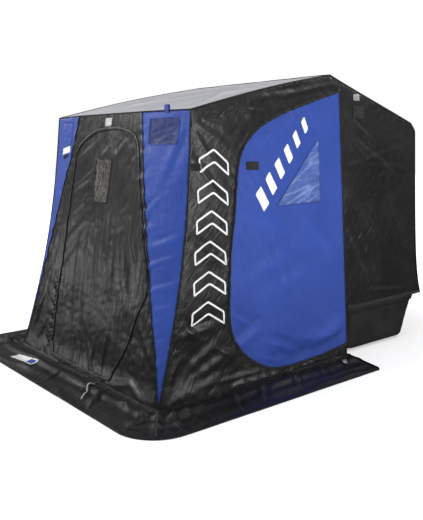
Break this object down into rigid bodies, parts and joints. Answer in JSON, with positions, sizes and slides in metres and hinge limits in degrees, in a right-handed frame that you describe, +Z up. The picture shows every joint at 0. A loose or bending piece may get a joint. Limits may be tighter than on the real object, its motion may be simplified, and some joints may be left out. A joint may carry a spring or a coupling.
{
  "type": "ice fishing shelter",
  "caption": "Flip-over ice fishing shelter: moulded sled with seats, folding tube bows and a sewn cover with zipped doors, windows and ground skirt.",
  "frame": {"origin": "on the ground, at the middle of the footprint with the skirt", "axes": "+Z up, -Y towards the front door, +Y towards the sled, X across the shelter; right is +X"},
  "size_m": [2.51, 2.95, 1.9999],
  "materials": {
    "polyethylene": "rotomoulded polyethylene, fine pebbled skin with scuffs",
    "runner": "hard low-friction plastic wear strip",
    "aluminium": "drawn square tube, satin",
    "steel": "zinc-plated steel",
    "nylon": "natural nylon",
    "black_cloth": "coated woven polyester, slight sheen",
    "blue_cloth": "coated woven polyester, slight sheen",
    "silver_cloth": "silver-white coated woven polyester, satin",
    "grey_vinyl": "wrinkled clear vinyl with a grey lining behind",
    "blue_vinyl": "crinkled blue-tinted vinyl",
    "clear_vinyl": "wrinkled clear vinyl over blue cloth",
    "seat_plastic": "moulded plastic",
    "seat_cover": "padded vinyl cover"
  },
  "bodies": {
    "sled": {"sled_tub": "polyethylene", "runner_1": "runner", "runner_2": "runner", "seat_rail_front": "aluminium", "seat_rail_rear": "aluminium", "rear_wall": "black_cloth", "pivot_bracket_left": "steel", "pivot_bolt_left": "steel", "pivot_spacer_left": "nylon", "pivot_bracket_right": "steel", "pivot_bolt_right": "steel", "pivot_spacer_right": "nylon"},
    "front_bow": {"hoop_front": "aluminium", "leg_front_left": "aluminium", "leg_front_right": "aluminium", "front_wall": "black_cloth", "roof_front": "silver_cloth", "skirt_front": "black_cloth", "corner_panel_left": "blue_cloth", "corner_window_left": "blue_vinyl", "side_front_left": "black_cloth", "skirt_left": "black_cloth", "corner_panel_right": "blue_cloth", "corner_window_right": "blue_vinyl", "side_front_right": "black_cloth", "skirt_right": "black_cloth"},
    "ridge_bow": {"hoop_ridge": "aluminium", "leg_ridge_left": "aluminium", "leg_ridge_right": "aluminium"},
    "rear_bow": {"hoop_rear": "aluminium", "leg_rear_left": "aluminium", "leg_rear_right": "aluminium", "side_rear_left": "black_cloth", "side_rear_right": "black_cloth", "roof_rear": "black_cloth"},
    "front_door": {"front_door": "black_cloth", "front_door_window": "grey_vinyl"},
    "side_door_left": {"side_door_left": "blue_cloth", "side_window_left": "clear_vinyl"},
    "seat_base_left": {"seat_base_left": "steel"},
    "seat_left": {"seat_pan_left": "seat_plastic", "seat_cushion_left": "seat_cover", "seat_pin_left": "steel"},
    "seat_back_left": {"seat_back_left": "seat_plastic", "seat_back_pad_left": "seat_cover"},
    "snap_front_left": {"snap_button_front_left": "steel"},
    "snap_ridge_left": {"snap_button_ridge_left": "steel"},
    "snap_rear_left": {"snap_button_rear_left": "steel"},
    "side_door_right": {"side_door_right": "blue_cloth", "side_window_right": "clear_vinyl"},
    "seat_base_right": {"seat_base_right": "steel"},
    "seat_right": {"seat_pan_right": "seat_plastic", "seat_cushion_right": "seat_cover", "seat_pin_right": "steel"},
    "seat_back_right": {"seat_back_right": "seat_plastic", "seat_back_pad_right": "seat_cover"},
    "snap_front_right": {"snap_button_front_right": "steel"},
    "snap_ridge_right": {"snap_button_ridge_right": "steel"},
    "snap_rear_right": {"snap_button_rear_right": "steel"}
  },
  "joints": [
    {"name": "flip", "type": "hinge", "parent": "sled", "child": "front_bow", "pos_m": [0, 0.98, 0.4], "axis": [1, 0, 0], "range_deg": [-138, 0], "deforming": ["front_wall", "roof_front", "skirt_front", "roof_rear", "rear_wall", "front_door", "front_door_window", "corner_panel_left", "corner_window_left", "side_front_left", "side_rear_left", "skirt_left", "side_door_left", "side_window_left", "corner_panel_right", "corner_window_right", "side_front_right", "side_rear_right", "skirt_right", "side_door_right", "side_window_right"]},
    {"name": "ridge_bow_fold", "type": "hinge", "parent": "sled", "child": "ridge_bow", "pos_m": [0, 0.98, 0.4], "axis": [1, 0, 0], "range_deg": [-105, 0]},
    {"name": "rear_bow_fold", "type": "hinge", "parent": "sled", "child": "rear_bow", "pos_m": [0, 0.98, 0.4], "axis": [1, 0, 0], "range_deg": [-71, 0]},
    {"name": "front_door_hinge", "type": "hinge", "parent": "front_bow", "child": "front_door", "pos_m": [-0.415, -1.01505, 0.795], "axis": [-0.0585, -0.1514, -0.9867], "range_deg": [0, 95]},
    {"name": "side_door_left_hinge", "type": "hinge", "parent": "front_bow", "child": "side_door_left", "pos_m": [-0.81782, 0.554, 0.9915], "axis": [-0.0796, 0, -0.9968], "range_deg": [0, 100]},
    {"name": "side_door_right_hinge", "type": "hinge", "parent": "front_bow", "child": "side_door_right", "pos_m": [0.81782, 0.554, 0.9915], "axis": [-0.0796, 0, 0.9968], "range_deg": [0, 100]},
    {"name": "seat_left_slide", "type": "slide", "parent": "sled", "child": "seat_base_left", "axis": [1, 0, 0], "range_m": [-0.06, 0.06]},
    {"name": "seat_left_swivel", "type": "hinge", "parent": "seat_base_left", "child": "seat_left", "pos_m": [-0.4, 0.98, 0.47], "axis": [0, 0, 1], "continuous": true},
    {"name": "seat_left_back_fold", "type": "hinge", "parent": "seat_left", "child": "seat_back_left", "pos_m": [-0.4, 1.155, 0.625], "axis": [1, 0, 0], "range_deg": [0, 82]},
    {"name": "seat_right_slide", "type": "slide", "parent": "sled", "child": "seat_base_right", "axis": [1, 0, 0], "range_m": [-0.06, 0.06]},
    {"name": "seat_right_swivel", "type": "hinge", "parent": "seat_base_right", "child": "seat_right", "pos_m": [0.4, 0.98, 0.47], "axis": [0, 0, 1], "continuous": true},
    {"name": "seat_right_back_fold", "type": "hinge", "parent": "seat_right", "child": "seat_back_right", "pos_m": [0.4, 1.155, 0.625], "axis": [1, 0, 0], "range_deg": [0, 82]},
    {"name": "snap_front_left_press", "type": "slide", "parent": "front_bow", "child": "snap_front_left", "axis": [0, -0.5906, -0.807], "range_m": [0, 0.006], "stiffness_N_per_m": 300},
    {"name": "snap_front_right_press", "type": "slide", "parent": "front_bow", "child": "snap_front_right", "axis": [0, -0.5906, -0.807], "range_m": [0, 0.006], "stiffness_N_per_m": 300},
    {"name": "snap_ridge_left_press", "type": "slide", "parent": "ridge_bow", "child": "snap_ridge_left", "axis": [0, -0.9495, -0.3137], "range_m": [0, 0.006], "stiffness_N_per_m": 300},
    {"name": "snap_ridge_right_press", "type": "slide", "parent": "ridge_bow", "child": "snap_ridge_right", "axis": [0, -0.9495, -0.3137], "range_m": [0, 0.006], "stiffness_N_per_m": 300},
    {"name": "snap_rear_left_press", "type": "slide", "parent": "rear_bow", "child": "snap_rear_left", "axis": [0, -0.954, 0.2998], "range_m": [0, 0.006], "stiffness_N_per_m": 300},
    {"name": "snap_rear_right_press", "type": "slide", "parent": "rear_bow", "child": "snap_rear_right", "axis": [0, -0.954, 0.2998], "range_m": [0, 0.006], "stiffness_N_per_m": 300}
  ],
  "couplings": [
    {"joint": "ridge_bow_fold", "follows": "flip", "ratio": 0.7513},
    {"joint": "rear_bow_fold", "follows": "flip", "ratio": 0.504}
  ]
}
